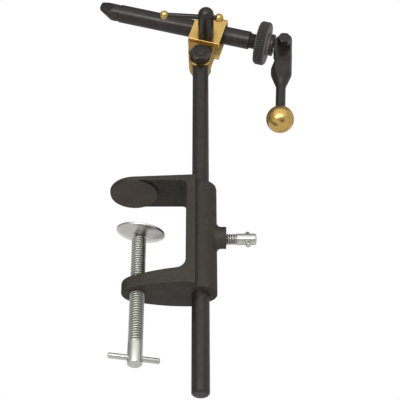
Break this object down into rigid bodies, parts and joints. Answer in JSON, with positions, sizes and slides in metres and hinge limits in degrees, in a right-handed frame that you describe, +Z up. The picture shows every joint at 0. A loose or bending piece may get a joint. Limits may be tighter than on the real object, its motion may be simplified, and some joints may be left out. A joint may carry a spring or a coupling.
{
  "type": "fly tying vise",
  "caption": "Clamp-on vise that holds a fishing hook in split jaws; a cam lever draws them into a tilting, turning barrel on a height-adjustable stem.",
  "frame": {"origin": "on the clamp face, the underside of the tongue's raised pad, on the clamp screw's axis", "axes": "+Z up along the stem, +X from the clamp screw towards the stem and the cam lever, -Y to the side with the tommy bar"},
  "size_m": [0.12, 0.0427, 0.2693],
  "materials": {
    "casting": "dark charcoal-brown fine-texture powder coat",
    "black_steel": "black oxide, satin",
    "bright_steel": "bright zinc plate",
    "pad_metal": "satin nickel plate",
    "jaw_steel": "hardened, dark satin",
    "brass": "polished, slightly tarnished"
  },
  "bodies": {
    "clamp": {"clamp_frame": "casting"},
    "pad": {"swivel_pad": "pad_metal"},
    "screw": {"clamp_screw": "bright_steel", "clamp_tee_bar": "bright_steel"},
    "stem": {"stem": "black_steel", "pivot_bolt": "black_steel", "pivot_nut": "black_steel"},
    "stem_lock": {"stem_lock_screw": "bright_steel", "stem_lock_pin": "bright_steel"},
    "bracket": {"head_bracket": "brass", "head_lock_nut": "black_steel"},
    "head_lock": {"head_lock_screw": "black_steel"},
    "tommy": {"lock_tommy_bar": "black_steel", "tommy_ball_left": "brass", "tommy_ball_right": "brass"},
    "barrel": {"barrel": "black_steel", "return_spring": "bright_steel"},
    "washer": {"thrust_washer": "black_steel"},
    "knob": {"adjusting_knob": "black_steel"},
    "collet": {"collet_jaws": "jaw_steel", "draw_rod": "bright_steel"},
    "lever": {"cam_lever": "black_steel", "lever_pin": "black_steel", "ball_knob": "brass"}
  },
  "joints": [
    {"name": "clamp_travel", "type": "slide", "parent": "clamp", "child": "pad", "axis": [0, 0, 1], "range_m": [-0.026, 0.0215]},
    {"name": "clamp_screw_turn", "type": "hinge", "parent": "pad", "child": "screw", "pos_m": [0, 0, 0], "axis": [0, 0, 1], "range_deg": [-6629.8, 5482.3]},
    {"name": "stem_height", "type": "slide", "parent": "clamp", "child": "stem", "axis": [0, 0, 1], "range_m": [-0.04, 0.08]},
    {"name": "stem_lock_turn", "type": "hinge", "parent": "clamp", "child": "stem_lock", "pos_m": [0.0475, 0, -0.0295], "axis": [1, 0, 0], "range_deg": [0, 360]},
    {"name": "head_tilt", "type": "hinge", "parent": "stem", "child": "bracket", "pos_m": [0.03352, 0, 0.0986], "axis": [0, 1, 0], "range_deg": [-60, 20]},
    {"name": "head_lock_turn", "type": "hinge", "parent": "bracket", "child": "head_lock", "pos_m": [0.03678, 0, 0.11453], "axis": [0, 1, 0], "range_deg": [0, 180]},
    {"name": "tommy_slide", "type": "slide", "parent": "head_lock", "child": "tommy", "axis": [0.9972, 0, -0.075], "range_m": [0, 0.0173]},
    {"name": "barrel_turn", "type": "hinge", "parent": "bracket", "child": "barrel", "pos_m": [0.0404, 0, 0.1229], "axis": [0.9622, 0, -0.2723], "continuous": true},
    {"name": "jaw_adjust", "type": "slide", "parent": "barrel", "child": "washer", "axis": [0.9622, 0, -0.2723], "range_m": [-0.004, 0]},
    {"name": "knob_turn", "type": "hinge", "parent": "washer", "child": "knob", "pos_m": [0.0404, 0, 0.1229], "axis": [0.9622, 0, -0.2723], "range_deg": [-1813.3, 0]},
    {"name": "collet_draw", "type": "slide", "parent": "washer", "child": "collet", "axis": [0.9622, 0, -0.2723], "range_m": [0, 0.00128], "deforming": ["return_spring"]},
    {"name": "lever_cam", "type": "hinge", "parent": "collet", "child": "lever", "pos_m": [0.08464, 0, 0.11038], "axis": [0, -1, 0], "range_deg": [0, 78]}
  ],
  "couplings": [
    {"joint": "clamp_travel", "follows": "clamp_screw_turn", "m_per_rad": 0.00022459},
    {"joint": "jaw_adjust", "follows": "knob_turn", "m_per_rad": 0.00012633},
    {"joint": "collet_draw", "follows": "lever_cam", "m_per_rad": 0.00094}
  ]
}
